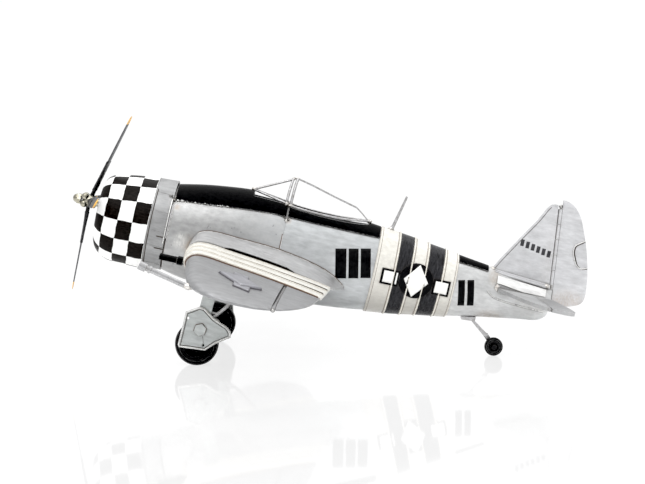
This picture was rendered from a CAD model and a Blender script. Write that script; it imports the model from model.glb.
# A painted sheet-metal aeroplane with a four-blade propeller, standing on its
# wheels.  In the frame the nose points to -X, starboard is +Y and up is +Z.
# Fine detail is added to the CAD pieces, then finishes, floor, sky and lights.
import math
import random
import bmesh
import bpy
from mathutils import Matrix, Vector, noise
from mathutils.bvhtree import BVHTree

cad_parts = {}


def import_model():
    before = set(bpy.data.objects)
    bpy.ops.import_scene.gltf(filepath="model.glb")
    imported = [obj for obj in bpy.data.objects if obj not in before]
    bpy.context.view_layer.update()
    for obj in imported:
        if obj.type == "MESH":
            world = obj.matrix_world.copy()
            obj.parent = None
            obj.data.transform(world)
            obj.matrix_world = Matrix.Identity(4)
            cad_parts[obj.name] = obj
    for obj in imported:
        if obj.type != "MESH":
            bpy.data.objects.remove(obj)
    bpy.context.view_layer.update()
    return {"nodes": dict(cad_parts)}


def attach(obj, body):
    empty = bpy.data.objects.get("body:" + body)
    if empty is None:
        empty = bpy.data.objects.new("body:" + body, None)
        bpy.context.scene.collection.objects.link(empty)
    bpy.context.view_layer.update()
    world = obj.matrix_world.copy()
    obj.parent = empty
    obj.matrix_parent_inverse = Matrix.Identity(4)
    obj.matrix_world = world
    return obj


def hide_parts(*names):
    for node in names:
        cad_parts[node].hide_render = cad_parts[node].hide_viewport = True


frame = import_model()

PARTS = frame["nodes"]
MM = 0.001
SIDES = ((-1, "port"), (1, "starboard"))

scene = bpy.context.scene
view = scene.view_settings
view.view_transform = 'Standard'
view.look = 'None'
view.use_curve_mapping = True
view.curve_mapping.black_level = (0.0115, 0.0115, 0.0115)
view.curve_mapping.update()

# The airframe is drawn along its thrust line: x aft from the propeller plane,
# y starboard, z up from the shaft, in millimetres.  It sits tilted, nose up.
TILT = math.radians(11.8)
COS_TILT = math.cos(TILT)
SIN_TILT = math.sin(TILT)
HUB_X, HUB_Z = -62.44, 81.01            # propeller centre in the frame, mm


def world(x, y, z):
    """Airframe place (mm) to frame place (m)."""
    return Vector((HUB_X + x * COS_TILT + z * SIN_TILT, y,
                   HUB_Z - x * SIN_TILT + z * COS_TILT)) * MM


def world_dir(x, y, z):
    """Airframe direction in the frame."""
    return Vector((x * COS_TILT + z * SIN_TILT, y, -x * SIN_TILT + z * COS_TILT))


def airframe(point):
    """Frame place (m) to airframe place (mm)."""
    x, y, z = point[0] / MM - HUB_X, point[1] / MM, point[2] / MM - HUB_Z
    return Vector((x * COS_TILT - z * SIN_TILT, y, x * SIN_TILT + z * COS_TILT))


def side_place(x, z):
    """Airframe x, z to frame X, Z, both in mm."""
    place = world(x, 0, z)
    return place.x / MM, place.z / MM


# ------------------------------------------------------------------ camera
# It stands on the port side and looks along +Y, slightly down.
CAMERA_PLACE = Vector((49.5175, -780.0, 125.526))
CAMERA_RIGHT = Vector((0.9998049, -0.0143572, 0.0135662))
CAMERA_UP = Vector((-0.0123260, 0.0831996, 0.9964567))
CAMERA_AHEAD = Vector((0.0154351, 0.9964295, -0.0830064))

camera = bpy.data.cameras.new("cam")
camera_ob = bpy.data.objects.new("cam", camera)
scene.collection.objects.link(camera_ob)
camera.sensor_fit = 'HORIZONTAL'
camera.sensor_width = 36.0
camera.lens = 81.361
camera.clip_start = 0.01
camera.clip_end = 50
pose = Matrix((CAMERA_RIGHT, CAMERA_UP, -CAMERA_AHEAD)).transposed().to_4x4()
pose.translation = CAMERA_PLACE * MM
camera_ob.matrix_world = pose
scene.camera = camera_ob


# ------------------------------------------------------------ node building
class Nodes:
    """Builds the node tree of one material or world."""

    def __init__(self, block, output='OutputMaterial'):
        self.block = block
        block.use_nodes = True
        self.tree = block.node_tree
        self.tree.nodes.clear()
        self.output = self.node(output)
        self.spaces = {}

    def put(self, socket, value):
        """Links a socket, or sets its value; None leaves it alone."""
        if value is None:
            return
        if isinstance(value, bpy.types.NodeSocket):
            self.tree.links.new(value, socket)
        else:
            if isinstance(value, tuple) and len(value) == 3 and socket.type == 'RGBA':
                value = (*value, 1.0)
            socket.default_value = value

    def node(self, kind, inputs=None, **settings):
        node = self.tree.nodes.new('ShaderNode' + kind)
        for key, value in settings.items():
            setattr(node, key, value)
        for key, value in (inputs or {}).items():
            self.put(node.inputs[key], value)
        return node

    def calc(self, operation, first, second=None, clamp=False):
        return self.node('Math', {0: first, 1: second}, operation=operation,
                         use_clamp=clamp).outputs[0]

    def mul(self, first, second):
        return self.calc('MULTIPLY', first, second)

    def add(self, first, second):
        return self.calc('ADD', first, second)

    def sub(self, first, second):
        return self.calc('SUBTRACT', first, second)

    def above(self, value, limit):
        return self.calc('GREATER_THAN', value, limit)

    def below(self, value, limit):
        return self.calc('LESS_THAN', value, limit)

    def mix(self, share, first, second, blend='MIX'):
        return self.node('Mix', {0: share, 6: first, 7: second},
                         data_type='RGBA', blend_type=blend).outputs[2]

    def mix_value(self, share, first, second):
        return self.node('Mix', {0: share, 2: first, 3: second},
                         data_type='FLOAT').outputs[0]

    def vector_calc(self, operation, first, second=None):
        return self.node('VectorMath', {0: first, 1: second}, operation=operation)

    def space(self, name='body'):
        """Millimetres, on airframe axes ('body') or object axes ('obj')."""
        if name not in self.spaces:
            inputs = {0: self.node('TexCoord').outputs['Object'],
                      'Scale': (1000, 1000, 1000)}
            if name == 'body':
                inputs['Rotation'] = (0, -TILT, 0)
                inputs['Location'] = (-(HUB_X * COS_TILT - HUB_Z * SIN_TILT), 0,
                                      -(HUB_X * SIN_TILT + HUB_Z * COS_TILT))
            self.spaces[name] = self.node('Mapping', inputs).outputs[0]
        return self.spaces[name]

    def axes(self):
        """Airframe x, y and z."""
        return tuple(self.node('SeparateXYZ', {0: self.space()}).outputs)

    def grain(self, scale, detail=3.0, rough=0.5, space='body', stretch=None):
        """Noise; stretch multiplies the coordinates axis by axis."""
        vector = self.space(space)
        if stretch is not None:
            vector = self.vector_calc('MULTIPLY', vector, stretch).outputs[0]
        return self.node('TexNoise', {'Vector': vector, 'Scale': scale, 'Detail': detail,
                                      'Roughness': rough}).outputs[0]

    def ramp(self, share, stops):
        """Colour ramp through (position, grey or colour) stops."""
        node = self.node('ValToRGB', {0: share})
        elements = node.color_ramp.elements
        elements.remove(elements[-1])
        for i, (position, colour) in enumerate(stops):
            element = elements[0] if i == 0 else elements.new(position)
            element.position = position
            if not isinstance(colour, tuple):
                colour = (colour,) * 3
            element.color = (*colour, 1)
        return node.outputs[0]

    def fade(self, value, span, to=(0.0, 1.0), smooth=False):
        """Maps the range span on to the range to."""
        node = self.node('MapRange', {0: value, 1: span[0], 2: span[1], 3: to[0], 4: to[1]})
        if smooth:
            node.interpolation_type = 'SMOOTHSTEP'
        return node.outputs[0]

    def spot(self, centre, radii):
        """1 inside a soft ellipsoid round an airframe place, 0 outside."""
        offset = self.vector_calc('SUBTRACT', self.space(), centre).outputs[0]
        scaled = self.vector_calc('DIVIDE', offset, radii).outputs[0]
        length = self.vector_calc('LENGTH', scaled).outputs['Value']
        return self.fade(length, (0.4, 1.6), (1.0, 0.0), smooth=True)

    def edge(self, radius=0.0004):
        """About 1 on sharp edges, 0 on open faces."""
        bevel = self.node('Bevel', {'Radius': radius}, samples=4).outputs[0]
        normal = self.node('NewGeometry').outputs['Normal']
        facing = self.vector_calc('DOT_PRODUCT', bevel, normal).outputs['Value']
        return self.calc('MULTIPLY', self.sub(1.0, facing), 6.0, clamp=True)


def new_material(name):
    return Nodes(bpy.data.materials.new(name))


def finish(mat, colour, rough=0.4, metal=0.0, dents=0.5, peel=0.35, mottle=0.06, dirt=0.45,
           wear=0.35, coat=0.0, wear_colour=(0.62, 0.62, 0.61),
           dirt_colour=(0.10, 0.085, 0.07), extra_height=None, space='body', ao_mm=1.6,
           specular=0.5):
    """Hand-painted sheet metal: uneven film, brush and dust marks, darkened
    corners, paint rubbed thin on edges, gentle dents and a fine orange peel."""
    coarse = mat.grain(0.045, rough=0.55, space=space)
    medium = mat.grain(0.35, detail=4, rough=0.6, space=space)
    fine = mat.grain(3.2, rough=0.6, space=space)
    tones = [mat.fade(layer, (0.3, 0.7), (1.0 - mottle * share, 1.0 + mottle * share))
             for layer, share in ((coarse, 1.0), (medium, 0.55), (fine, 0.35))]
    tone = mat.mul(mat.mul(tones[0], tones[1]), tones[2])
    tint = mat.node('CombineColor', {0: tone, 1: tone, 2: tone}).outputs[0]
    colour = mat.mix(1.0, colour, tint, 'MULTIPLY')
    if dirt > 0:
        corners = mat.node('AmbientOcclusion', {'Distance': ao_mm * MM}, samples=6)
        grime = mat.mul(mat.fade(corners.outputs['AO'], (0.35, 0.95), (1.0, 0.0), smooth=True),
                        mat.fade(medium, (0.25, 0.65), (dirt * 0.55, dirt)))
        colour = mat.mix(grime, colour, dirt_colour)
    if wear > 0:
        rubbed = mat.mul(mat.edge(), mat.fade(mat.grain(1.1, detail=4, rough=0.65, space=space),
                                              (0.42, 0.62), (0.0, wear)))
        colour = mat.mix(rubbed, colour, wear_colour)
        metal = mat.mix_value(rubbed, metal, 0.85)
    rough = mat.calc('ADD', rough, mat.fade(medium, (0.3, 0.7), (-0.06, 0.12)), clamp=True)

    # dents first, then two sizes of orange peel
    height = mat.add(
        mat.mul(mat.grain(0.075, detail=2, rough=0.4, space=space), 2.6 * dents),
        mat.mul(mat.grain(0.9, detail=2, space=space), 0.10 * peel))
    height = mat.add(height, mat.mul(mat.grain(5.5, detail=2, space=space), 0.035 * peel))
    if extra_height is not None:
        height = mat.add(height, extra_height)
    bump = mat.node('Bump', {'Strength': 0.55, 'Distance': 0.00028, 'Height': height})
    surface = mat.node('BsdfPrincipled', {
        'Base Color': colour, 'Roughness': rough, 'Metallic': metal, 'Coat Weight': coat,
        'Coat Roughness': 0.15, 'Specular IOR Level': specular, 'Normal': bump.outputs[0]})
    mat.put(mat.output.inputs[0], surface.outputs[0])
    return mat.block


def silver(name, tint, marks=None, lay=(0.35, 1.0, 1.25), rub=0.16, **look):
    """Silver paint; lay stretches the brush strokes, rub is their contrast."""
    mat = new_material(name)

    def brighter(gain):
        return tuple(min(1.0, c * gain) for c in tint)

    strokes = mat.grain(0.42, detail=5, rough=0.62, stretch=lay)
    colour = mat.mix(mat.fade(strokes, (0.30, 0.70)), tuple(c * (1.0 - rub) for c in tint),
                     brighter(1.0 + rub * 0.9))
    # rubbed-out flecks where the brush dragged
    flecks = mat.grain(1.9, detail=4, rough=0.7, stretch=(lay[0] * 0.6, lay[1], lay[2]))
    colour = mat.mix(mat.fade(flecks, (0.60, 0.74), (0.0, 0.45)), colour, brighter(1.45))
    colour = mat.mix(mat.fade(flecks, (0.26, 0.40), (0.40, 0.0)), colour,
                     tuple(c * 0.80 for c in tint))
    if marks is not None:
        colour = marks(mat, colour)
    values = dict(dirt=0.75, rough=0.34, metal=0.50, dents=0.5, peel=0.5, mottle=0.055)
    values.update(look)
    return finish(mat, colour, **values)


def enamel(name, first, second, rough=0.28, ridge=0.0, tone=None, lay=(0.4, 1, 0.4), **look):
    """Brushed enamel in two tones; ridge is the height of ribs across y."""
    mat = new_material(name)
    brush = mat.grain(1.1, detail=4, rough=0.65, stretch=lay)
    colour = mat.mix(mat.fade(brush, (0.32, 0.7)), first, second)
    if tone is not None:
        colour = tone(mat, colour)
    height = None
    if ridge > 0:
        rib_pitch = 2.1
        y = mat.add(mat.axes()[1], mat.mul(mat.grain(0.3, detail=2), 0.9))
        height = mat.mul(mat.calc('SINE', mat.mul(y, 2 * math.pi / rib_pitch)), ridge)
    values = dict(dents=0.4, peel=0.8, mottle=0.04, wear=0.4, dirt=0.45)
    values.update(look)
    return finish(mat, colour, rough=rough, extra_height=height, **values)


def bare_metal(name, colour, tarnished, rough=0.28, metal=1.0, wear=0.2, tarnish=0.6,
               marks=None):
    mat = new_material(name)
    patches = mat.grain(0.55, detail=5, rough=0.62)
    colour = mat.mix(mat.mul(mat.fade(patches, (0.35, 0.7)), tarnish), colour, tarnished)
    if marks is not None:
        colour = marks(mat, colour)
    return finish(mat, colour, rough=rough, metal=metal, dents=0.15, peel=0.6, mottle=0.08,
                  dirt=0.65, wear=wear, ao_mm=1.0, wear_colour=(0.85, 0.83, 0.78))


# --------------------------------------------------------------- stains
BROWN = (0.36, 0.27, 0.19)
PALE = (0.80, 0.80, 0.77)
DARK = (0.03, 0.028, 0.026)


def scorch(mat, colour, spots):
    """Streaky stains; spots are (centre, radii, strength, tone)."""
    streak = mat.grain(0.9, detail=4, rough=0.7, stretch=(1.6, 1.0, 0.5))
    for centre, radii, strength, tone in spots:
        share = mat.mul(mat.spot(centre, radii),
                        mat.fade(streak, (0.35, 0.62), (0.15 * strength, strength)))
        colour = mat.mix(share, colour, tone)
    return colour


def stains(*spots):
    return lambda mat, colour: scorch(mat, colour, spots)


def front_marks(mat, colour):
    """Greys towards the rear of the front shell, with stained corners."""
    x = mat.axes()[0]
    colour = mat.mix(mat.fade(x, (66.0, 101.0), (0.0, 0.85)), colour, (0.415, 0.425, 0.432))
    cloud = mat.grain(0.5, detail=4, rough=0.6, stretch=(0.5, 1.0, 1.0))
    colour = mat.mix(mat.fade(cloud, (0.42, 0.62), (0.0, 0.28)), colour, (0.52, 0.52, 0.515))
    return scorch(mat, colour, [
        ((60.0, -20.0, -11.0), (4.2, 6.0, 3.4), 0.75, BROWN),
        ((57.5, -20.0, -9.5), (4.0, 6.0, 5.0), 0.35, BROWN),
        ((52.0, -20.0, -8.5), (3.2, 7.0, 3.8), 0.55, PALE),
        ((60.0, 20.0, -11.0), (4.6, 6.0, 3.4), 0.6, BROWN),
        ((47.0, 0.0, 8.0), (1.6, 40.0, 1.3), 0.6, BROWN)])


def belly_tone(mat, colour):
    """Greys the paint towards the belly."""
    z = mat.axes()[2]
    return mat.mix(mat.fade(z, (-2.0, -18.0), (0.0, 0.55)), colour, (0.30, 0.285, 0.26))


def tail_axle_tone(mat, colour):
    x = mat.axes()[0]
    return mat.mix(mat.above(x, 120.0), colour, (0.02, 0.02, 0.021))


# ------------------------------------------------------- the silver paints
silver_front = silver("silver_front", (0.336, 0.337, 0.337), front_marks, mottle=0.09,
                      dents=1.0, peel=1.2, rub=0.13, lay=(0.6, 1.0, 1.0), rough=0.33,
                      metal=0.55)
silver_mid = silver("silver_mid", (0.445, 0.459, 0.467), stains(
    ((118.0, 0.0, -28.0), (22.0, 40.0, 7.0), 0.18, (0.45, 0.44, 0.43)),
    ((105.0, 0.0, 13.6), (1.8, 40.0, 1.6), 0.55, BROWN)), mottle=0.06, dents=0.6)
silver_tail = silver("silver_tail", (0.535, 0.54, 0.54), stains(
    ((222.0, 0.0, -15.0), (7.0, 40.0, 4.0), 0.45, BROWN),
    ((243.0, 0.0, -3.0), (8.0, 40.0, 4.0), 0.30, (0.42, 0.40, 0.37)),
    ((219.5, 0.0, 7.0), (3.0, 40.0, 4.0), 0.5, BROWN)), mottle=0.10)
silver_wing = silver("silver_wing", (0.262, 0.264, 0.27), rough=0.40, dents=0.8, mottle=0.09)
silver_root = silver("silver_root", (0.465, 0.465, 0.467), stains(
    ((60.0, -20.0, -11.0), (4.0, 10.0, 4.0), 0.65, BROWN),
    ((60.0, 20.0, -11.0), (4.0, 10.0, 4.0), 0.65, BROWN)), rough=0.40, dents=0.55)
silver_fin = silver("silver_fin", (0.562, 0.565, 0.578), stains(
    ((262.0, 0.0, 1.5), (9.0, 10.0, 6.0), 0.45, BROWN),
    ((247.0, 0.0, 20.0), (3.0, 10.0, 24.0), 0.25, (0.40, 0.38, 0.36))), dents=0.7, peel=0.8)
silver_stab = silver("silver_stab", (0.40, 0.402, 0.405), rough=0.42, mottle=0.16, wear=0.8,
                     dirt=0.8)
silver_gear = silver("silver_gear", (0.445, 0.466, 0.462), rough=0.42, mottle=0.08,
                     dirt=0.6, dents=0.35)
silver_flap = silver("silver_flap", (0.285, 0.287, 0.289), rough=0.38, mottle=0.09, dents=0.9)
silver_light = silver("silver_light", (0.82, 0.82, 0.81), rough=0.34, mottle=0.05, dirt=0.5)
silver_elevator = silver("silver_elevator", (0.36, 0.362, 0.365), rough=0.34, metal=0.6,
                         mottle=0.12, dirt=0.8, wear=0.9, wear_colour=(0.75, 0.75, 0.74))
silver_pitot = silver("silver_pitot", (0.36, 0.36, 0.365), rough=0.25, metal=0.7, dirt=0.9,
                      wear=0.7)
emblem_plate = silver("emblem_plate", (0.30, 0.30, 0.325), rough=0.36, mottle=0.06, dents=0.3)


# ------------------------------------------------------- the enamels
# Cowl section: x, middle height + 10, half height, half width
COWL_SECTIONS = [(4.0, 6.0, 14.9, 13.0), (8.6, 5.2, 20.4, 17.4), (12.0, 4.7, 22.3, 19.0),
                 (17.0, 4.5, 23.5, 20.0), (25.0, 5.0, 24.2, 20.5), (34.0, 5.7, 24.6, 20.7)]
# Chequer cell edges: angles above the horizontal on one side, and stations
CHEQUER_ANGLES = (1.315, 0.915, 0.485, 0.015, -0.415, -0.86, -1.31)
CHEQUER_STATIONS = (10.5, 18.0, 25.8)
CHEQUER_END = 33.7


def make_chequer():
    mat = new_material("chequered_enamel")
    x, y, z = mat.axes()
    wobbly_x = mat.add(x, mat.mul(mat.sub(mat.grain(0.22, detail=2), 0.5), 1.1))

    def section(column):
        """Cowl measure at this x; the ramp holds hundredths."""
        stops = [((row[0] - 4.0) / 30.0, row[column] / 100.0) for row in COWL_SECTIONS]
        return mat.mul(mat.ramp(mat.fade(x, (4.0, 34.0)), stops), 100.0)

    middle = mat.sub(section(1), 10.0)
    high = mat.calc('DIVIDE', mat.sub(z, middle), section(2))
    wide = mat.calc('DIVIDE', mat.calc('ABSOLUTE', y), section(3))
    # -pi/2 at the bottom to +pi/2 at the top
    angle = mat.calc('ARCTAN2', high, mat.add(wide, 0.0001))
    waver = mat.sub(mat.grain(0.25, detail=2, stretch=(1, 1, 1.3)), 0.5)
    angle = mat.add(angle, mat.mul(waver, 0.045))
    crossed = 0.0
    for limit in CHEQUER_ANGLES:
        crossed = mat.add(crossed, mat.below(angle, limit))
    for limit in CHEQUER_STATIONS:
        crossed = mat.add(crossed, mat.above(wobbly_x, limit))
    black = mat.mul(mat.below(mat.calc('MODULO', crossed, 2.0), 0.5),
                    mat.below(wobbly_x, CHEQUER_END))

    brush = mat.grain(1.3, detail=4, rough=0.65, stretch=(0.35, 1, 1))
    black_paint = mat.mix(mat.fade(brush, (0.35, 0.7), (0.0, 0.35)),
                          (0.0018, 0.0015, 0.0014), (0.040, 0.031, 0.027))
    white_paint = mat.mix(mat.fade(brush, (0.35, 0.7), (0.0, 0.5)),
                          (0.90, 0.90, 0.89), (0.82, 0.82, 0.81))
    chips = mat.mul(mat.above(mat.grain(0.8, detail=5, rough=0.7), 0.70),
                    mat.fade(mat.edge(radius=0.0006), (0.0, 1), (0.25, 1.0)))
    colour = mat.mix(black, white_paint, black_paint)
    colour = mat.mix(mat.mul(chips, black), colour, (0.5, 0.5, 0.49))
    distance = mat.calc('SQRT', mat.add(mat.mul(wide, wide), mat.mul(high, high)))
    colour = mat.mix(mat.below(distance, 0.93), colour, (0.55, 0.55, 0.56))
    return finish(mat, colour, rough=mat.mix_value(black, 0.30, 0.36), dents=0.35, peel=0.9,
                  mottle=0.025, dirt=0.35, wear=0.35,
                  specular=mat.mix_value(black, 0.4, 0.10),
                  extra_height=mat.mul(black, 0.9))


def make_rubber():
    mat = new_material("tyre_black")
    patches = mat.grain(1.2, detail=4, rough=0.6, space='obj')
    colour = mat.mix(mat.fade(patches, (0.35, 0.7)), (0.0012, 0.0012, 0.0014),
                     (0.005, 0.005, 0.0055))
    return finish(mat, colour, rough=0.42, dents=0.1, peel=1.0, mottle=0.1, dirt=0.0,
                  wear=0.25, wear_colour=(0.16, 0.16, 0.165), specular=0.16, space='obj')


def make_blade():
    """Black cuffs, grey drawn blade with fine lines, yellow tip."""
    cuff_radius, tip_radius = 22.5, 44.6
    mat = new_material("blade_black")
    x, y, z = mat.axes()
    radius = mat.calc('SQRT', mat.add(mat.mul(y, y), mat.mul(z, z)))
    radius = mat.add(radius, mat.mul(mat.sub(mat.grain(0.4, detail=2), 0.5), 0.8))
    lines = mat.grain(1.0, detail=4, rough=0.6, stretch=(4, 1, 1))
    colour = mat.mix(mat.fade(lines, (0.35, 0.65)), (0.022, 0.023, 0.026),
                     (0.060, 0.062, 0.068))
    colour = mat.mix(mat.below(radius, cuff_radius), colour, (0.003, 0.003, 0.0032))
    colour = mat.mix(mat.above(radius, tip_radius), colour, (0.78, 0.42, 0.05))
    return finish(mat, colour, rough=0.34, dents=0.2, peel=0.7, mottle=0.08, dirt=0.2,
                  wear=0.75, wear_colour=(0.5, 0.5, 0.52), specular=0.2, ao_mm=0.8)


chequer = make_chequer()
rubber = make_rubber()
blade = make_blade()
black_deck = enamel("black_deck", (0.0015, 0.0015, 0.0017), (0.006, 0.006, 0.0065),
                    rough=0.26, wear=0.75, wear_colour=(0.55, 0.55, 0.55), specular=0.03)
black_band = enamel("black_band", (0.001, 0.001, 0.0012), (0.045, 0.045, 0.050), rough=0.24,
                    wear=0.9, specular=0.16, lay=(2.2, 0.25, 0.25),
                    wear_colour=(0.5, 0.5, 0.5))
white_band = enamel("white_band", (0.74, 0.725, 0.675), (0.60, 0.585, 0.535), rough=0.36,
                    coat=0.35, wear=0.3, mottle=0.07, dirt=0.7,
                    dirt_colour=(0.16, 0.12, 0.08), tone=belly_tone)
white_wing = enamel("white_wing_band", (0.74, 0.735, 0.70), (0.60, 0.59, 0.54), rough=0.34,
                    coat=0.35, ridge=0.35, wear=0.3, dirt=0.8,
                    dirt_colour=(0.14, 0.10, 0.07))
bead_cream = enamel("bead_cream", (0.80, 0.78, 0.72), (0.60, 0.56, 0.48), rough=0.34,
                    coat=0.35, wear=0.8, dirt=0.9, wear_colour=(0.85, 0.84, 0.80),
                    dirt_colour=(0.12, 0.09, 0.06))
bead_silver = silver("bead_silver", (0.72, 0.72, 0.73), rough=0.30, metal=0.55, dirt=0.8,
                     wear=0.8)
mark_black = enamel("mark_black", (0.002, 0.002, 0.0022), (0.008, 0.008, 0.009), rough=0.34,
                    wear=0.25, dirt=0.0, specular=0.10)
mark_white = enamel("mark_white", (0.86, 0.86, 0.84), (0.78, 0.78, 0.75), rough=0.36,
                    wear=0.2, dirt=0.5)
mark_grey = enamel("mark_grey", (0.030, 0.030, 0.033), (0.07, 0.07, 0.076), rough=0.45,
                   wear=0.3, dirt=0.0, specular=0.15)
edge_bright = silver("edge_bright", (0.66, 0.66, 0.65), rough=0.26, metal=0.6, dirt=0.6,
                     wear=0.6, mottle=0.10)
seam_dark = enamel("seam_dark", (0.030, 0.026, 0.024), (0.075, 0.060, 0.048), rough=0.55,
                   wear=0.0, dirt=0.0, specular=0.1)
seam_brown = enamel("seam_brown", (0.085, 0.050, 0.034), (0.17, 0.115, 0.085), rough=0.6,
                    wear=0.2, dirt=0.0, specular=0.15)
emblem_shadow = enamel("emblem_shadow", (0.085, 0.083, 0.095), (0.13, 0.125, 0.14),
                       rough=0.5, wear=0.0, dirt=0.0, specular=0.1)
tyre_lip = enamel("tyre_lip", (0.010, 0.010, 0.011), (0.035, 0.036, 0.039), rough=0.28,
                  wear=0.4, dirt=0.0, specular=0.5, space='obj')
cuff_black = enamel("cuff_black", (0.003, 0.003, 0.0034), (0.020, 0.020, 0.022), rough=0.32,
                    wear=0.9, wear_colour=(0.55, 0.55, 0.57), dirt=0.0, specular=0.2)

# ------------------------------------------------------- the bare metals
steel = bare_metal("plated_steel", (0.46, 0.455, 0.45), (0.26, 0.245, 0.225), rough=0.30)
steel_wire = bare_metal("steel_wire", (0.50, 0.50, 0.51), (0.26, 0.25, 0.24), rough=0.34,
                        metal=0.85, tarnish=0.9, marks=stains(
                            ((103.6, 0.0, 17.0), (2.4, 40.0, 4.6), 0.95, DARK),
                            ((86.0, 0.0, 23.0), (1.5, 40.0, 2.2), 0.7, DARK),
                            ((147.0, 0.0, 20.0), (2.0, 40.0, 1.6), 0.6, DARK)))
solder = bare_metal("solder", (0.68, 0.67, 0.65), (0.40, 0.36, 0.31), rough=0.33, metal=0.9,
                    tarnish=0.8)
bright_metal = bare_metal("bright_metal", (0.40, 0.385, 0.32), (0.20, 0.185, 0.14),
                          rough=0.20, tarnish=0.9)
brass = bare_metal("brass", (0.72, 0.40, 0.09), (0.28, 0.13, 0.04), tarnish=0.9)
engine_grey = bare_metal("engine_grey", (0.070, 0.070, 0.070), (0.025, 0.024, 0.022),
                         rough=0.34, metal=0.7, wear=0.8)
inside_grey = bare_metal("inside_grey", (0.16, 0.16, 0.165), (0.08, 0.08, 0.08), rough=0.6,
                         metal=0.2)
axle_steel = bare_metal("axle_steel", (0.40, 0.395, 0.39), (0.22, 0.21, 0.19), rough=0.30,
                        marks=tail_axle_tone)
dark_wire = bare_metal("dark_wire", (0.16, 0.155, 0.15), (0.05, 0.045, 0.04), rough=0.34,
                       metal=0.9, wear=0.8)

# Finish of each CAD piece
FINISHES = [
    (silver_front, "fuselage_front_shell"),
    (silver_mid, "fuselage_mid_shell"),
    (silver_tail, "fuselage_tail_shell"),
    (silver_wing, "port_wing_skin starboard_wing_skin port_aileron starboard_aileron"),
    (silver_root, "port_wing_root_fairing starboard_wing_root_fairing"),
    (silver_fin, "fin rudder"),
    (silver_stab, "port_stabiliser starboard_stabiliser"),
    (silver_light, "tail_fillet_plates"),
    (silver_elevator, "port_elevator starboard_elevator"),
    (silver_gear, "port_gear_leg starboard_gear_leg port_wheel_cover starboard_wheel_cover"
                  " cover_bolts_and_spacers"),
    (silver_flap, "cowl_flap_band"),
    (black_deck, "front_deck rear_deck tail_deck gun_barrels"),
    (chequer, "cowl_ring"),
    (white_band, "fuselage_band_1 fuselage_band_3 fuselage_band_5"),
    (black_band, "fuselage_band_2 fuselage_band_4"),
    (white_wing, "port_wing_bands starboard_wing_bands"),
    (rubber, "port_wheel starboard_wheel tail_wheel"),
    (blade, "propeller_blade_1 propeller_blade_2 propeller_blade_3 propeller_blade_4"),
    (bright_metal, "propeller_nut propeller_hub"),
    (brass, "shaft_bush"),
    (steel, "propeller_shaft rudder_hinge_pin aileron_hinge_pins"),
    (axle_steel, "wheel_axles"),
    (steel_wire, "windscreen_frame canopy_frame antenna_mast elevator_torque_wire"
                 " gear_braces tail_wheel_strut"),
    (silver_pitot, "pitot_tube"),
    (emblem_plate, "wing_emblem_plates"),
    (engine_grey, "engine_crankcase engine_cylinders"),
    (inside_grey, "engine_bulkhead cockpit_floor"),
]


def set_material(ob, material):
    ob.data.materials.clear()
    ob.data.materials.append(material)


for material, names in FINISHES:
    for name in names.split():
        set_material(PARTS[name], material)


# ------------------------------------------------------- mesh helpers
def new_object(name, mesh):
    ob = bpy.data.objects.new(name, mesh)
    scene.collection.objects.link(ob)
    return ob


def new_mesh(name, verts, faces, smooth=True):
    mesh = bpy.data.meshes.new(name)
    mesh.from_pydata([tuple(v) for v in verts], [], faces)
    mesh.update()
    if smooth:
        mesh.polygons.foreach_set("use_smooth", [True] * len(mesh.polygons))
    return new_object(name, mesh)


def from_bmesh(name, bm):
    mesh = bpy.data.meshes.new(name)
    bm.to_mesh(mesh)
    bm.free()
    return new_object(name, mesh)


def face_outward(ob):
    bm = bmesh.new()
    bm.from_mesh(ob.data)
    bmesh.ops.recalc_face_normals(bm, faces=bm.faces)
    bm.to_mesh(ob.data)
    bm.free()
    return ob


def add(ob, material, body="airframe", sharp_angle=None):
    """Paints a finished piece and fixes it to a body of the frame."""
    set_material(ob, material)
    if sharp_angle is not None:
        ob.data.set_sharp_from_angle(angle=math.radians(sharp_angle))
    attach(ob, body)
    return ob


def gather(meshes):
    """Vertices and faces of several meshes, as one set."""
    verts, faces = [], []
    for mesh in meshes:
        start = len(verts)
        verts += [v.co.copy() for v in mesh.vertices]
        faces += [tuple(start + i for i in p.vertices) for p in mesh.polygons]
    return verts, faces


def merge(name, parts):
    """Joins several fresh meshes into one smooth piece."""
    verts, faces = gather([part.data for part in parts])
    for part in parts:
        mesh = part.data
        bpy.data.objects.remove(part)
        bpy.data.meshes.remove(mesh)
    return new_mesh(name, verts, faces)


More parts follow.
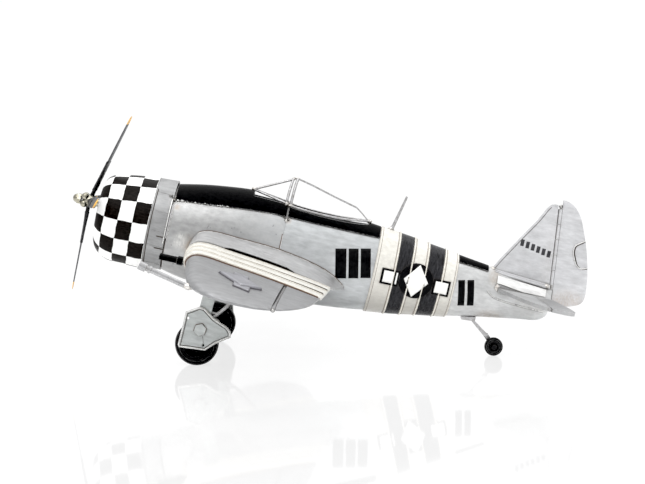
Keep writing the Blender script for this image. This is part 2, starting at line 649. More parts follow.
def tube(points, radius, seg=8, closed=False, radii=None, name="part"):
    """Round bar through world points, with domed ends; radii in mm."""
    count = len(points)
    tangents = []
    for i in range(count):
        if closed:
            step = points[(i + 1) % count] - points[i - 1]
        else:
            step = points[min(i + 1, count - 1)] - points[max(i - 1, 0)]
        tangents.append(step.normalized())
    first = tangents[0]
    guide = Vector((0, 0, 1)) if abs(first.z) < 0.9 else Vector((1, 0, 0))
    normal = (guide - first * guide.dot(first)).normalized()
    rings = []
    for i, (point, tangent) in enumerate(zip(points, tangents)):
        normal = (normal - tangent * normal.dot(tangent)).normalized()
        size = (radii[i] if radii else radius) * MM
        if not closed and i == 0:
            rings.append((point - tangent * size * 0.75, normal, tangent, size * 0.55))
        rings.append((point, normal, tangent, size))
        if not closed and i == count - 1:
            rings.append((point + tangent * size * 0.75, normal, tangent, size * 0.55))
    verts, faces = [], []
    for centre, across, along, size in rings:
        other = along.cross(across)
        for j in range(seg):
            angle = 2 * math.pi * j / seg
            verts.append(centre + (across * math.cos(angle) + other * math.sin(angle)) * size)
    for i in range(len(rings) if closed else len(rings) - 1):
        a, b = i * seg, (i + 1) % len(rings) * seg
        for j in range(seg):
            k = (j + 1) % seg
            faces.append((a + j, a + k, b + k, b + j))
    if not closed:
        last = (len(rings) - 1) * seg
        faces.append(tuple(reversed(range(seg))))
        faces.append(tuple(last + j for j in range(seg)))
    return new_mesh(name, verts, faces)


def blob(centre, radius, squash, seed, rough=0.16):
    """An uneven, slightly slumped drop at an airframe place."""
    bm = bmesh.new()
    bmesh.ops.create_icosphere(bm, subdivisions=3, radius=1.0)
    shift = Vector((seed * 7.13, seed * 3.7, seed * 1.9))
    for v in bm.verts:
        swell = (1.0 + rough * noise.noise(v.co * 1.7 + shift) * 1.8
                 + 0.05 * noise.noise(v.co * 5 + shift))
        offset = v.co * swell * radius
        v.co = world(*(c + d * s for c, d, s in zip(centre, offset, squash)))
    return from_bmesh("part", bm)


def patch(place, columns, rows, hit, lift, sink=0.25):
    """Thin plate lying on a surface.  place(u, v) gives the spot and hit()
    drops it on the surface; the rim runs down into it.  None if a ray misses."""
    top, bottom = [], []
    for j in range(rows + 1):
        for i in range(columns + 1):
            point, normal = hit(*place(i / columns, j / rows))
            if point is None:
                return None
            top.append(point + normal * lift * MM)
            bottom.append(point - normal * sink * MM)
    count = len(top)
    width = columns + 1
    faces = []
    for j in range(rows):
        for i in range(columns):
            a, b = j * width + i, (j + 1) * width + i
            quad = (a, a + 1, b + 1, b)
            faces.append(quad)
            faces.append(tuple(count + q for q in reversed(quad)))
    rim = (list(range(width)) + [j * width + columns for j in range(1, rows + 1)]
           + [rows * width + i for i in range(columns - 1, -1, -1)]
           + [j * width for j in range(rows - 1, 0, -1)])
    for a, b in zip(rim, rim[1:] + rim[:1]):
        faces.append((b, a, count + a, count + b))
    return face_outward(new_mesh("part", top + bottom, faces))


def between(corners):
    """Bilinear map from u, v to the four-cornered figure."""
    (x0, z0), (x1, z1), (x2, z2), (x3, z3) = corners

    def place(u, v):
        return ((x0 * (1 - u) + x1 * u) * (1 - v) + (x3 * (1 - u) + x2 * u) * v,
                (z0 * (1 - u) + z1 * u) * (1 - v) + (z3 * (1 - u) + z2 * u) * v)
    return place


# ------------------------------------------------------- surface finding
def surface(*names):
    return BVHTree.FromPolygons(*gather([PARTS[name].data for name in names]))


HULL = surface("fuselage_front_shell", "fuselage_mid_shell", "fuselage_tail_shell",
               "front_deck", "rear_deck", "tail_deck", "cowl_flap_band",
               *("fuselage_band_%d" % i for i in range(1, 6)))
TAIL = surface("fuselage_tail_shell")
FIN = surface("fin")
RUDDER = surface("rudder")
WINGS = {side: surface(label + "_wing_skin", label + "_wing_bands", label + "_aileron")
         for side, label in SIDES}
ROOTS = {side: surface(label + "_wing_root_fairing") for side, label in SIDES}


def lifted(hits, lift):
    """Points held lift mm off the surface; rays that missed are left out."""
    return [point + normal * lift * MM for point, normal in hits if point is not None]


def radial_hit(x, angle):
    """Hull surface at station x; angle 0 at the top, +90 degrees to port."""
    angle = math.radians(angle)
    ray = Vector((0, -math.sin(angle), math.cos(angle)))
    # look a little fore and aft if the ray slips through a joint
    for shift in (0.0, 0.25, -0.25, 0.5, -0.5):
        start = Vector((x + shift, 0, -4.0)) + ray * 60
        point, normal, _, _ = HULL.ray_cast(world(*start), -world_dir(*ray), 0.058)
        if point is not None:
            return point - world_dir(1, 0, 0) * shift * MM, normal
    return None, None


def side_ray(frame_x, frame_z, side):
    return Vector((frame_x, side * 70, frame_z)) * MM, Vector((0, -side, 0))


def side_hit(frame_x, frame_z, side, tree=HULL):
    """Surface seen from the side at frame X, Z (mm)."""
    return tree.ray_cast(*side_ray(frame_x, frame_z, side))[:2]


def top_hit(x, y, tree):
    """Surface seen from above the airframe."""
    return tree.ray_cast(world(x, y, 30), world_dir(0, 0, -1))[:2]


def arc_points(x, start, end, steps, lift):
    """Points round the hull at station x between two angles in degrees."""
    return lifted([radial_hit(x, start + (end - start) * i / steps)
                   for i in range(steps + 1)], lift)


def hoop(x, steps, lift, radius, seg):
    """Closed bar right round the hull."""
    return tube(arc_points(x, 0, 357, steps, lift), radius, seg, closed=True)


def side_arcs(side, rows, seg=8):
    """Bars round one side: x, start, end angle, steps, lift, radius."""
    return [tube(arc_points(x, side * start, side * end, steps, lift), radius, seg)
            for x, start, end, steps, lift, radius in rows]


def lap(side, angle, x0, x1, steps, drift, lift, radius):
    """Bar along the hull side; the angle drifts at each step."""
    hits = [radial_hit(x0 + (x1 - x0) * i / steps, side * (angle + drift * i))
            for i in range(steps + 1)]
    return tube(lifted(hits, lift), radius)


def side_line(path, side, tree, lift, step=0.7):
    """Points on a surface along an airframe x, z path."""
    hits = []
    for (ax, az), (bx, bz) in zip(path, path[1:]):
        count = max(2, int(math.hypot(bx - ax, bz - az) / step))
        for i in range(count):
            t = i / count
            place = side_place(ax + (bx - ax) * t, az + (bz - az) * t)
            hits.append(side_hit(*place, side, tree))
    return lifted(hits, lift)


def round_path(path, steps=6):
    """Softens the corners of an open polyline."""
    out = [path[0]]
    for before, corner, after in zip(path, path[1:], path[2:]):
        start, end = [tuple(c + (o - c) * 0.35 for c, o in zip(corner, other))
                      for other in (before, after)]
        for i in range(steps + 1):
            t = i / steps
            out.append(tuple((1 - t) ** 2 * s + 2 * t * (1 - t) * c + t * t * e
                             for s, c, e in zip(start, corner, end)))
    out.append(path[-1])
    return out


def add_line(name, points, radius, material, slot="silver_paint", **shape):
    """Adds a bar, unless nearly all of its path missed the surface."""
    if len(points) > 4:
        add(tube(points, radius, name=name, **shape), material)


# ------------------------------------------------------- fuselage joints
# raised cream lips at the edges of the fuselage bands
BEAD_STATIONS = (155.1, 165.5, 173.9, 181.8, 191.3, 198.4)
add(merge("fuselage_band_beads", [hoop(x, 119, 0.12, 0.46, 8) for x in BEAD_STATIONS]),
    bead_cream)

# strips over the joints; columns as in side_arcs
MIDDLE_STRIP = [(104.05, 62, 176, 60, 0.02, 0.24)]
FRONT_STRIPS = [(44.35, 52, 104, 34, 0.16, 0.42), (44.3, 104, 170, 34, -0.02, 0.20)]
strips = [bar for rows in (MIDDLE_STRIP, FRONT_STRIPS) for side in (-1, 1)
          for bar in side_arcs(side, rows)]
add(merge("fuselage_joint_strips", strips), bead_silver)

# edges where the cowl flap sheets lap over one another: angle, front end
FLAP_LAPS = [(38, 35.0), (66, 35.0), (96, 36.6), (118, 35.0), (150, 35.0)]
add(merge("cowl_flap_laps", [
    lap(side, angle, x, 43.4, steps=8, drift=0.25, lift=0.02, radius=0.17)
    for side in (-1, 1) for angle, x in FLAP_LAPS]), silver_flap)

# lumps of solder: centre, radius, squash
SOLDER_JOINTS = [
    ((84.2, 0.0, 25.3), 1.35, (1.2, 1.3, 0.8)), ((102.4, -8.7, 21.9), 1.25, (1.0, 0.9, 0.8)),
    ((102.4, 8.7, 21.9), 1.25, (1.0, 0.9, 0.8)), ((104.6, -8.9, 21.3), 1.2, (1.2, 0.9, 0.7)),
    ((104.6, 8.9, 21.3), 1.2, (1.2, 0.9, 0.7)), ((103.4, 0.0, 35.2), 1.1, (0.9, 2.2, 0.7)),
    ((105.4, 0.0, 35.5), 1.1, (1.2, 1.7, 0.7)), ((147.4, 0.0, 21.7), 1.3, (1.3, 1.9, 0.8)),
    ((160.0, 0.0, 20.1), 1.7, (1.0, 1.0, 0.7)), ((218.6, 0.0, 11.0), 1.6, (1.4, 1.5, 0.8)),
    ((67.4, -139.4, -15.9), 1.6, (1.5, 1.0, 0.9)), ((248.4, -2.4, 8.4), 1.3, (1.2, 1.1, 0.9)),
    ((248.4, 2.4, 8.4), 1.3, (1.2, 1.1, 0.9)), ((221.6, -8.4, 2.2), 1.5, (1.0, 0.8, 1.3)),
    ((221.6, 8.4, 2.2), 1.5, (1.0, 0.8, 1.3)), ((212.0, 0.0, -17.7), 1.4, (1.6, 1.6, 0.6)),
    ((44.2, -15.4, 11.6), 0.8, (0.9, 0.9, 0.8)), ((44.2, 15.4, 11.6), 0.8, (0.9, 0.9, 0.8)),
    ((104.1, -15.0, 13.2), 0.9, (0.8, 0.8, 1.1)), ((104.1, 15.0, 13.2), 0.9, (0.8, 0.8, 1.1)),
]
add(merge("solder_joints", [blob(centre, radius, squash, seed=i + 1)
                            for i, (centre, radius, squash) in enumerate(SOLDER_JOINTS)]),
    solder)


# ------------------------------------------------------- wing bands
WING_BANDS = [(44.7, 57.2), (58.2, 70.7), (71.7, 84.4)]     # inner, outer y


def wing_wrap(side, y, lift, radius, name="part"):
    """Bar wrapped over the top, nose and underside of a wing at side * y."""
    tree = WINGS[side]
    y *= side
    upper, lower = [], []
    for i in range(35):
        x = 55 + 82 * (0.5 - 0.5 * math.cos(math.pi * i / 34))      # from nose to tail
        upper += lifted([top_hit(x, y, tree)], lift)
        lower += lifted([tree.ray_cast(world(x, y, -60), world_dir(0, 0, 1))[:2]], lift)
    z_upper, z_lower = airframe(upper[0]).z, airframe(lower[0]).z
    nose = lifted([tree.ray_cast(world(20, y, z_upper + (z_lower - z_upper) * k / 6),
                                 world_dir(1, 0, 0))[:2] for k in range(1, 6)], lift)
    points = upper[::-1] + nose + lower
    # drop points that crowd together
    spaced = [points[0]]
    for point in points[1:]:
        if (point - spaced[-1]).length > 0.28 * MM:
            spaced.append(point)
    return tube(spaced, radius, name=name)


def fairing_strip(side, label):
    """Black strip standing against the outer end of the root fairing."""
    y_inner, y_outer = 43.5, 44.15
    verts, faces = [], []
    for i in range(41):
        point, _ = top_hit(76.5 + 37.0 * i / 40, side * 43.2, ROOTS[side])
        if point is None:
            continue
        foot = airframe(point)
        taper = min(1.0, i / 4.0, (40 - i) / 4.0)
        z = foot.z + 0.85 * taper - 0.1
        low = z - (1.9 * taper + 1.05)
        for y, height in ((y_inner, z), (y_outer, z - 0.1), (y_outer, low), (y_inner, low)):
            verts.append(world(foot.x, side * y, height))
    last = len(verts) - 4
    for a in range(0, last, 4):
        for j in range(4):
            k = (j + 1) % 4
            faces.append((a + j, a + k, a + k + 4, a + j + 4))
    faces.append((3, 2, 1, 0))
    faces.append((last, last + 1, last + 2, last + 3))
    strip = new_mesh(label + "_fairing_black_strip", verts, faces, smooth=False)
    add(face_outward(strip), black_deck)


for side, label in SIDES:
    beads, ridges = [], []
    for inner, outer in WING_BANDS:
        beads.append(wing_wrap(side, inner + 1.0, 0.10, 0.40))
        beads.append(wing_wrap(side, outer - 1.4, 0.10, 0.34))
        for k in range(1, 6):
            ridges.append(wing_wrap(side, inner + (outer - inner) * k / 6, -0.12, 0.30))
    add(merge(label + "_wing_band_beads", beads), bead_cream)
    add(merge(label + "_wing_band_ridges", ridges), white_wing)
    fairing_strip(side, label)


# ------------------------------------------------------- painted markings
def rectangle(left, bottom, right, top):
    return [(left, top), (right, top), (right, bottom), (left, bottom)]


def side_patch(corners, side, cells=(6, 10), lift=0.09, tree=HULL):
    """Plate on a side surface, from four frame X, Z corners."""
    return patch(between(corners), *cells, lambda x, z: side_hit(x, z, side, tree), lift)


def airframe_patch(corners, side, cells, lift, tree=HULL):
    """The same, from airframe x, z corners."""
    return side_patch([side_place(*corner) for corner in corners], side, cells, lift, tree)


# plain blocks on the fuselage sides: left, bottom, right, top in frame X, Z
SIDE_BLOCKS = [(68.2, 42.9, 74.0, 58.6), (75.2, 43.0, 80.4, 58.6), (81.6, 43.2, 86.9, 58.6),
               (133.8, 28.3, 137.4, 42.1), (138.8, 28.3, 142.4, 42.1)]
for side, label in SIDES:
    plates = [side_patch(rectangle(*block), side) for block in SIDE_BLOCKS]
    add(merge(label + "_side_marks_0", [p for p in plates if p is not None]), mark_black)

# plain roundel: dark disc, white lozenge, two outlined bars
ROUNDEL_X, ROUNDEL_Z, ROUNDEL_R = 177.7, -3.0, 9.2
LOZENGE = [(ROUNDEL_X + 0.6, ROUNDEL_Z + ROUNDEL_R * 0.94),
           (ROUNDEL_X + ROUNDEL_R * 0.72, ROUNDEL_Z),
           (ROUNDEL_X - 0.6, ROUNDEL_Z - ROUNDEL_R * 0.94),
           (ROUNDEL_X - ROUNDEL_R * 0.72, ROUNDEL_Z)]
DARK_BARS = [(158.9, -7.9, 168.6, 0.4), (187.2, -7.9, 196.2, 0.3)]
WHITE_BARS = [(160.1, -6.8, 167.6, -0.7), (188.2, -6.8, 195.1, -0.8)]


def disc_place(u, v):
    """Square grid mapped to the roundel's disc."""
    across, up = 2 * u - 1, 2 * v - 1
    x = across * math.sqrt(1 - up * up / 2)
    z = up * math.sqrt(1 - across * across / 2)
    centre_x, centre_z = side_place(ROUNDEL_X, ROUNDEL_Z)
    return centre_x + x * ROUNDEL_R, centre_z + z * ROUNDEL_R


for side, label in SIDES:
    dark = [patch(disc_place, 26, 26, lambda x, z: side_hit(x, z, side), lift=0.46, sink=0.5)]
    dark += [airframe_patch(rectangle(*bar), side, (12, 8), 0.44) for bar in DARK_BARS]
    add(merge(label + "_roundel_disc", dark), mark_black)
    white = [airframe_patch(LOZENGE, side, (14, 14), 0.60)]
    white += [airframe_patch(rectangle(*bar), side, (10, 6), 0.56) for bar in WHITE_BARS]
    add(merge(label + "_roundel_white", white), mark_white)

# row of six small blocks on the fin
for side, label in SIDES:
    plates = []
    for k in range(6):
        x = 229.6 + 3.05 * k
        z = 28.3 - 0.6 * k
        plates.append(airframe_patch(rectangle(x, z - 1.7, x + 1.85, z + 1.8), side, (3, 4),
                                     0.10, FIN))
    add(merge(label + "_fin_marks", [p for p in plates if p is not None]), mark_grey)


# ------------------------------------------------------- seams and gaps
# soldered trim tab outline on the rudder, airframe x, z
TAB = [(265.6, 36.9), (263.3, 36.3), (258.4, 32.8), (258.3, 29.2), (261.2, 23.0),
       (263.9, 21.0), (268.6, 22.6)]
for side, label in SIDES:
    bead = side_line(round_path(TAB), side, RUDDER, 0.06)
    seam = side_line(round_path([(x + 0.75, z - 0.1) for x, z in TAB]), side, RUDDER, 0.0)
    add(tube(bead, 0.36, name=label + "_rudder_tab_bead"), edge_bright, body="rudder")
    add(tube(seam, 0.26, name=label + "_rudder_tab_seam"), seam_dark, body="rudder")

# seam of the stabiliser root on the fuselage, airframe x, z
STABILISER_SEAM = [(216.8, -0.4), (220.0, -2.9), (224.6, -3.9), (236.2, -4.9),
                   (247.6, -5.4), (250.6, -5.4)]
for side, label in SIDES:
    add_line(label + "_stabiliser_seam",
             side_line(round_path(STABILISER_SEAM), side, TAIL, 0.05), 0.32, edge_bright)
    below = [(x, z - 0.6) for x, z in STABILISER_SEAM]
    add_line(label + "_stabiliser_seam_gap",
             side_line(round_path(below), side, TAIL, -0.06), 0.14, silver_flap)

# bright edges of the flap band and the dark laps beside them
FLAP_EDGES = [(43.55, 47, 112, 40, 0.16, 0.40), (45.05, 50, 108, 40, 0.02, 0.24)]
FLAP_GAPS = [(44.4, 60, 160, 40, 0.0, 0.30), (35.0, 34, 160, 50, 0.0, 0.24)]
edges, gaps = [], []
for side in (-1, 1):
    edges += side_arcs(side, FLAP_EDGES)
    gaps += side_arcs(side, FLAP_GAPS)
    gaps += [lap(side, angle, 39.6, 43.6, steps=7, drift=0, lift=0.04, radius=0.26)
             for angle in (103.5, 122.0)]
add(merge("flap_band_edges", edges), edge_bright)
add(merge("flap_band_gaps", gaps), seam_dark)

# brown lines beside the fuselage bands, and at the middle joint
GAP_STATIONS = (155.95, 164.7, 174.75, 180.95, 192.15, 197.75)
JOINT_GAP = [(103.6, 60, 176, 60, -0.02, 0.20)]
add(merge("band_edge_lines", [hoop(x, 100, -0.10, 0.17, 6) for x in GAP_STATIONS]),
    seam_brown)
add(merge("shell_joint_gap", [bar for side in (-1, 1) for bar in side_arcs(side, JOINT_GAP, 6)]),
    seam_brown)


def root_rim(side, label):
    """Rolled rim, and a line above it, where the fairing meets the fuselage."""
    rim = []
    for i in range(80):
        x = 60.5 + 80.0 * i / 79
        found = None
        for k in range(150):
            # the highest place where the fairing still hides the hull
            ray = side_ray(*side_place(x, -22.0 + 0.2 * k), side)
            root, hull = ROOTS[side].ray_cast(*ray), HULL.ray_cast(*ray)
            if root[0] is not None and (hull[0] is None or root[3] < hull[3]):
                found = hull[0] if hull[0] is not None else root[0]
        if found is not None:
            rim.append(found + Vector((0, side * 0.12, 0)) * MM)
    # too short a run makes no rim
    if len(rim) > 8:
        smooth = [(rim[i - 1] + rim[i] * 2 + rim[i + 1]) / 4 for i in range(1, len(rim) - 1)]
        smooth = [rim[0]] + smooth + [rim[-1]]
        radii = [0.30 + 0.09 * noise.noise(Vector((i * 0.3, side * 3.0, 0.0)))
                 for i in range(len(smooth))]
        add_line(label + "_root_fairing_rim", smooth, None, edge_bright, radii=radii)
        gap = [point + world_dir(0, side * 0.06, 0.52) * MM for point in smooth]
        add_line(label + "_root_fairing_gap", gap, 0.15, seam_brown, seg=6)


# gaps between the wing bands, and the brown line outside the outer one
for side, label in SIDES:
    middles = [(a[1] + b[0]) / 2 for a, b in zip(WING_BANDS, WING_BANDS[1:])]
    gaps = [wing_wrap(side, y, 0.32, 0.62) for y in middles]
    add(merge(label + "_wing_band_gaps", gaps), seam_dark)
    add(wing_wrap(side, 85.0, 0.10, 0.50, label + "_wing_band_brown_edge"), seam_brown)
    root_rim(side, label)


# ------------------------------------------------------- wing emblems
# a lozenge and two plain plates: airframe x, distance out along y
INNER_PLATE = [(85.2, 103.0), (92.4, 104.2), (92.4, 116.0), (85.4, 114.0)]
OUTER_PLATE = [(86.4, 121.5), (94.0, 124.2), (94.1, 136.0), (86.5, 132.5)]
OUTER_SEAT = [(86.4, 121.5), (94.0, 124.2), (94.1, 137.0), (86.5, 133.5)]
EMBLEM_LOZENGE = [(78.6, 114.6), (88.6, 108.6), (99.4, 124.4), (90.0, 130.8)]


def emblem_part(corners, side, lift):
    return patch(between(corners), 8, 8, lambda x, y: top_hit(x, side * y, WINGS[side]),
                 lift, sink=0.2)


def emblem_seat(corners, side):
    """Thin bar on the wing round the foot of a plate."""
    hits = []
    for a, b in zip(corners, corners[1:] + corners[:1]):
        for i in range(12):
            t = i / 12
            hits.append(top_hit(a[0] + (b[0] - a[0]) * t, side * (a[1] + (b[1] - a[1]) * t),
                                WINGS[side]))
    return tube(lifted(hits, 0.05), 0.27, seg=6, closed=True)


emblems = merge("wing_emblems", [
    emblem_part(corners, side, lift) for side in (-1, 1)
    for corners, lift in ((INNER_PLATE, 0.75), (OUTER_PLATE, 0.75), (EMBLEM_LOZENGE, 1.15))])
add(emblems, emblem_plate)
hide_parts("wing_emblem_plates")
add(merge("wing_emblem_seats", [
    emblem_seat(corners, side) for side in (-1, 1)
    for corners in (INNER_PLATE, OUTER_SEAT, EMBLEM_LOZENGE)]), emblem_shadow)


# ------------------------------------------------------- wheel covers
WHEEL_X = {-1: -2.6, 1: 2.6}            # axle place in the frame
# Outline in frame X from the axle, Z: top, rear edge of each side, then the rest
COVER_TOP = [(-5.0, 28.1), (1.7, 30.5)]
COVER_REAR = {
    -1: [(4.3, 29.8), (8.8, 24.9), (15.7, 20.2), (17.2, 18.0), (17.3, 15.4), (10.1, 12.4)],
    1: [(4.0, 29.6), (7.4, 25.2), (8.8, 21.0), (9.2, 16.0), (8.4, 11.4)]}
COVER_REST = [(4.5, 8.7), (-8.5, 10.3), (-8.9, 11.4), (-7.0, 19.0)]
COVER_Y = 47.2                          # outer face
NUT_X, NUT_Z, NUT_SEAT_R = 2.1, 19.2, 3.35


def inset(outline, distance):
    """Polygon moved inwards, whichever way it runs."""
    count = len(outline)
    area = sum(outline[i][0] * outline[(i + 1) % count][1]
               - outline[(i + 1) % count][0] * outline[i][1] for i in range(count))
    sign = 1 if area > 0 else -1

    def inward(a, b):
        dx, dz = b[0] - a[0], b[1] - a[1]
        length = math.hypot(dx, dz)
        return -dz / length * sign, dx / length * sign

    out = []
    for i, corner in enumerate(outline):
        first = inward(outline[i - 1], corner)
        second = inward(corner, outline[(i + 1) % count])
        scale = 1 + first[0] * second[0] + first[1] * second[1]
        out.append(tuple(corner[k] + (first[k] + second[k]) * distance / scale
                         for k in range(2)))
    return out


def loop_points(outline, y, step=1.1, wobble=0.0, seed=0):
    """World points along a closed X, Z outline, with an uneven height."""
    out = []
    for a, b in zip(outline, outline[1:] + outline[:1]):
        count = max(1, int(math.hypot(b[0] - a[0], b[1] - a[1]) / step))
        for k in range(count):
            t = k / count
            x, z = a[0] + (b[0] - a[0]) * t, a[1] + (b[1] - a[1]) * t
            rise = noise.noise(Vector((x * 0.35, z * 0.35, seed))) * wobble
            out.append(Vector((x, y, z + rise)) * MM)
    return out


# rolled rim, dark crease inside it, six-sided nut seat and a short fold line
for side, label in SIDES:
    outline = [(x + WHEEL_X[side], z) for x, z in COVER_TOP + COVER_REAR[side] + COVER_REST]
    rim = [tube(loop_points(inset(outline, distance), side * y, wobble=0.15), radius,
                closed=True)
           for distance, y, radius in ((0.30, COVER_Y, 0.42), (-0.02, 46.6, 0.34))]
    add(merge(label + "_cover_rim", rim), edge_bright)
    crease = loop_points(inset(outline, 1.05), side * COVER_Y, wobble=0.22, seed=3)
    add(tube(crease, 0.15, seg=6, closed=True, name=label + "_cover_crease"), seam_dark)
    nut_x = WHEEL_X[side] + NUT_X
    corners = [math.radians(60 * i + 8) for i in range(6)]
    hexagon = [(nut_x + NUT_SEAT_R * math.cos(t), NUT_Z + NUT_SEAT_R * math.sin(t))
               for t in corners]
    add(tube(loop_points(hexagon, side * 47.25, step=0.8), 0.15, seg=6, closed=True,
             name=label + "_cover_nut_seat"), seam_brown)
    fold = [Vector((nut_x + 1.2 + 0.1 * k, side * 47.22, NUT_Z - 3.6 - 0.6 * k)) * MM
            for k in range(7)]
    add(tube(fold, 0.16, seg=6, name=label + "_cover_scribe"), silver_flap)


# ------------------------------------------------------- wheels
TYRE_R, WHEEL_Y = 11.1, 39.2
TAIL_TYRE_R, TAIL_WHEEL_X = 4.95, 154.9


def arc(centre, radius, start, end, steps):
    angles = [math.radians(start + (end - start) * i / steps) for i in range(steps + 1)]
    return [(centre[0] + radius * math.cos(a), centre[1] + radius * math.sin(a))
            for a in angles]


# Half profiles: radius, distance from the wheel's middle plane
TYRE_HALF = [
    (1.58, 3.85), (2.95, 3.85), (3.1, 3.7), (3.15, 3.1), (5.95, 3.1), (6.1, 3.2),
    (6.15, 3.85), (6.3, 4.0), (7.0, 4.0), (7.15, 3.8), (7.3, 3.8), (7.45, 4.0),
    (8.7, 3.98), (8.85, 3.7), (9.15, 3.7), (9.3, 3.92)] + arc((9.45, 2.3), 1.62, 82, 8, 9)
TAIL_TYRE_HALF = [
    (0.83, 1.75), (1.35, 1.75), (1.45, 1.2), (2.3, 1.2), (2.4, 1.65), (2.75, 1.7),
    (2.85, 1.35), (3.2, 1.35), (3.3, 1.95)] + arc((3.55, 0.6), 1.4, 88, 5, 8)


def lathe(name, half, tread, x, y, z, seg, side=1):
    """Solid wheel turned about y from a half profile and its tread points."""
    profile = half + tread + [(r, -t) for r, t in reversed(half)]
    count = len(profile)
    verts, faces = [], []
    for j in range(seg):
        angle = 2 * math.pi * j / seg
        for r, t in profile:
            verts.append(Vector((x + r * math.cos(angle), y + side * t,
                                 z + r * math.sin(angle))) * MM)
    for j in range(seg):
        a, b = j * count, (j + 1) % seg * count
        for i in range(count):
            k = (i + 1) % count
            faces.append((a + i, a + k, b + k, b + i))
    return face_outward(new_mesh(name, verts, faces))


def lip(x, y, z, ring_radius, radius, steps):
    """Thin hoop on a wheel face."""
    angles = [2 * math.pi * i / steps for i in range(steps)]
    return tube([Vector((x + ring_radius * math.cos(a), y, z + ring_radius * math.sin(a))) * MM
                 for a in angles], radius, seg=6, closed=True)


def add_wheel(tyre, name):
    add(tyre, rubber, name, sharp_angle=40)
    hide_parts(name)


for side, label in SIDES:
    x = WHEEL_X[side]
    tyre = lathe(label + "_tyre", TYRE_HALF, [(TYRE_R, 1.0), (TYRE_R, 0.0)], x,
                 side * WHEEL_Y, TYRE_R, seg=112, side=side)
    add_wheel(tyre, label + "_wheel")
    # offset from the middle plane, ring radius, bar radius, steps
    lips = [lip(x, side * (WHEEL_Y + offset), TYRE_R, ring_radius, radius, steps)
            for offset, ring_radius, radius, steps in (
                (-3.86, 9.0, 0.08, 90), (3.86, 9.0, 0.08, 90), (3.48, 10.55, 0.13, 100))]
    add(merge(label + "_tyre_lips", lips), tyre_lip, label + "_wheel")

add_wheel(lathe("tail_tyre", TAIL_TYRE_HALF, [(TAIL_TYRE_R, 0.0)], TAIL_WHEEL_X, 0.0,
                TAIL_TYRE_R, seg=80), "tail_wheel")
lips = [lip(TAIL_WHEEL_X, face * share, TAIL_TYRE_R, ring_radius, radius, 70)
        for face in (-1.9, 1.9)
        for share, ring_radius, radius in ((0.74, 3.02, 0.16), (1.0, 3.95, 0.10))]
add(merge("tail_tyre_lips", lips), tyre_lip, "tail_wheel")


# ------------------------------------------------------- blade cuffs
CUFF_INNER, CUFF_OUTER = 6.2, 22.8


def add_cuff(number):
    """Dark sleeve round the inner half of one blade."""
    source = PARTS["propeller_blade_%d" % number].data
    hub = world(0, 0, 0)
    shaft = world_dir(1, 0, 0)
    radial = sum((v.co for v in source.vertices), Vector()) / len(source.vertices) - hub
    radial = (radial - shaft * radial.dot(shaft)).normalized()
    bm = bmesh.new()
    bm.from_mesh(source)
    bmesh.ops.remove_doubles(bm, verts=bm.verts, dist=1e-6)
    for cut, away in ((CUFF_OUTER, radial), (CUFF_INNER, -radial)):
        bmesh.ops.bisect_plane(bm, geom=bm.verts[:] + bm.edges[:] + bm.faces[:],
                               plane_co=hub + radial * cut * MM, plane_no=away,
                               clear_outer=True)
        rim = [e for e in bm.edges if e.is_boundary]
        if rim:
            bmesh.ops.holes_fill(bm, edges=rim, sides=0)
    bmesh.ops.triangulate(bm, faces=bm.faces)
    bmesh.ops.subdivide_edges(bm, edges=[e for e in bm.edges if e.calc_length() > 1.6 * MM],
                              cuts=1)
    bm.normal_update()
    for v in bm.verts:
        uneven = noise.noise(v.co * 900 + Vector((number, 0, 0)))
        v.co += v.normal * (0.27 + 0.10 * uneven) * MM
    add(from_bmesh("propeller_cuff_%d" % number, bm), cuff_black, "propeller",
        sharp_angle=35)


for number in range(1, 5):
    add_cuff(number)

# ------------------------------------------------------- deck edges
# ragged paint edge and specks of bare metal along the foot of the front deck
random.seed(11)
for side, label in SIDES:
    chips = []
    for k in range(64):
        t = k / 63
        x = 45.5 + 52.0 * t ** 1.25 + random.uniform(-0.4, 0.4)
        z = (10.6 + (x - 44.6) * 0.118 - 0.0009 * (x - 60) * (x - 44)
             + random.uniform(-0.7, 0.75) * (1.0 - 0.7 * t))
        point, _ = side_hit(*side_place(x, z), side)
        if point is None:
            continue
        radius = random.uniform(0.16, 0.42) * (1.0 - 0.45 * t)
        squash = (random.uniform(1.0, 2.3), 0.45, random.uniform(0.6, 1.2))
        chips.append(blob(airframe(point), radius, squash, seed=k, rough=0.3))
    add(merge(label + "_deck_edge_chips", chips), edge_bright)

# twisted wire clips at the deck corners: airframe x, z, start of the twist
CLIPS = [(43.6, 12.6, 0.0), (103.8, 14.4, 1.1)]
for side, label in SIDES:
    wires = []
    for x, z, phase in CLIPS:
        point, _ = side_hit(*side_place(x, z), side)
        if point is None:
            continue
        centre = airframe(point)
        for strand in range(2):
            points = []
            for i in range(22):
                t = i / 21
                twist = phase + strand * 2.6 + t * 5.2
                points.append(world(
                    centre.x - 1.6 + 3.0 * t + 0.5 * math.cos(twist),
                    centre.y + side * (0.45 + 0.35 * math.sin(twist * 1.3)),
                    centre.z + 1.25 * math.sin(twist) * (1 - 0.4 * t)))
            wires.append(tube(points, 0.27, seg=7))
    if wires:
        add(merge(label + "_deck_clips", wires), dark_wire)


# ------------------------------------------------------- hub rings
def hub_ring(x, ring_radius, radius, name="part"):
    """Ring round the shaft at station x."""
    angles = [2 * math.pi * i / 60 for i in range(60)]
    return tube([world(x, ring_radius * math.cos(a), ring_radius * math.sin(a))
                 for a in angles], radius, closed=True, name=name)


add(merge("hub_brass_washer", [hub_ring(1.9, 2.75, 0.55), hub_ring(2.5, 3.0, 0.40)]), brass,
    "propeller")
for x, ring_radius, radius, name in ((2.2, 3.35, 0.28, "hub_washer_seat"),
                                     (-5.6, 2.35, 0.34, "hub_neck_ring")):
    add(hub_ring(x, ring_radius, radius, name), dark_wire, "propeller")

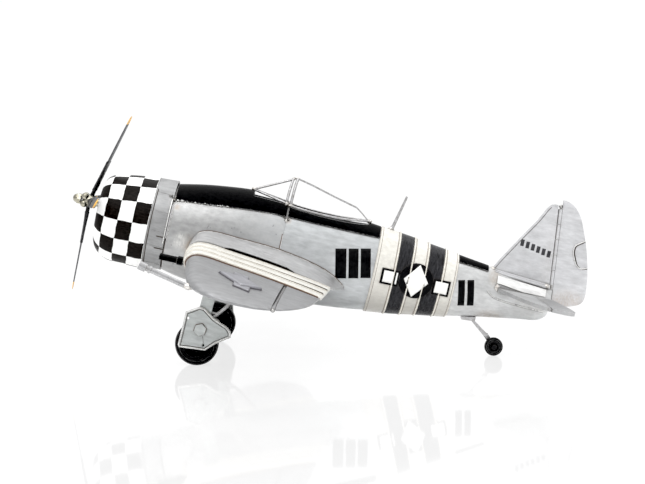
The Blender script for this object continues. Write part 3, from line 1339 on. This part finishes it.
# ------------------------------------------------------- fin lines
# dark line along the leading edge and a solder run along the foot, airframe x, z
FIN_EDGE = [(218.6, 10.6), (222.0, 16.9), (229.8, 30.0), (236.8, 41.2), (240.4, 48.6),
            (241.9, 50.9)]
FIN_FOOT = [(221.6, 9.6), (228.0, 8.4), (236.0, 7.0), (243.0, 5.8), (248.8, 4.9)]
for side, label in SIDES:
    add_line(label + "_fin_edge_line", side_line(round_path(FIN_EDGE), side, FIN, -0.02),
             0.16, seam_dark, seg=6)
    foot = side_line(FIN_FOOT, side, FIN, 0.02, step=0.9)
    radii = [0.28 + 0.16 * noise.noise(Vector((i * 0.45, side, 0.0)))
             for i in range(len(foot))]
    add_line(label + "_fin_foot_solder", foot, None, solder, "bright_metal", radii=radii)

# ------------------------------------------------------------------- floor
floor = new_mesh("floor", [(-6, -6, 0), (6, -6, 0), (6, 6, 0), (-6, 6, 0)], [(0, 1, 2, 3)])


def make_floor():
    """Pale, faintly glossy floor that the camera sees as nearly white."""
    mat = new_material("floor_pale")
    to_camera = mat.node('LightPath').outputs['Is Camera Ray']
    cloud = mat.grain(0.02, detail=2, space='obj')
    base = mat.ramp(mat.fade(cloud, (0.3, 0.7)), [(0.0, 0.955), (1.0, 0.975)])
    matt = mat.node('BsdfDiffuse', {0: base})
    gloss = mat.node('BsdfGlossy', {'Color': (1, 1, 1), 'Roughness': 0.045})
    gloss_share = mat.add(mat.mul(to_camera, 0.50), 0.20)
    mixed = mat.node('MixShader', {0: gloss_share, 1: matt.outputs[0], 2: gloss.outputs[0]})
    glow = mat.node('Emission', {0: base, 1: 1.13})
    glow_share = mat.mul(to_camera, 0.70)
    final = mat.node('MixShader', {0: glow_share, 1: mixed.outputs[0], 2: glow.outputs[0]})
    mat.put(mat.output.inputs[0], final.outputs[0])
    return mat.block


set_material(floor, make_floor())

# ------------------------------------------------------------------- sky
# white backdrop for the camera, a soft studio sky for everything else
SKY_STRENGTH = 1.25
BACKDROP_STRENGTH = 1.02
SKY_STOPS = [(0.0, 0.60), (0.18, (0.62, 0.62, 0.625)), (0.5, 0.95), (1.0, 1.0)]   # by height

sky = Nodes(bpy.data.worlds.new("world"), 'OutputWorld')
direction = sky.node('TexCoord').outputs['Generated']
height = sky.node('SeparateXYZ', {0: direction}).outputs[2]
studio = sky.node('Background', {0: sky.ramp(height, SKY_STOPS), 1: SKY_STRENGTH})
backdrop = sky.node('Background', {0: (1, 1, 1), 1: BACKDROP_STRENGTH})
choice = sky.node('MixShader', {0: sky.node('LightPath').outputs['Is Camera Ray'],
                                1: studio.outputs[0], 2: backdrop.outputs[0]})
sky.put(sky.output.inputs[0], choice.outputs[0])
scene.world = sky.block

# ------------------------------------------------------------------- lights
LIGHT_TARGET = Vector((0.05, 0, 0.06))


def area_light(name, place, size, power):
    """Square lamp aimed at the middle of the aeroplane."""
    light = bpy.data.lights.new(name, 'AREA')
    light.shape = 'RECTANGLE'
    light.size = size
    light.size_y = size
    light.energy = power
    ob = new_object(name, light)
    ob.location = place
    ob.rotation_euler = (LIGHT_TARGET - Vector(place)).to_track_quat('-Z', 'Y').to_euler()


area_light("key", (-0.25, -0.75, 1.0), size=0.7, power=4.5)
area_light("top", (0.1, 0.2, 1.3), size=1.3, power=6.0)

bpy.context.view_layer.update()
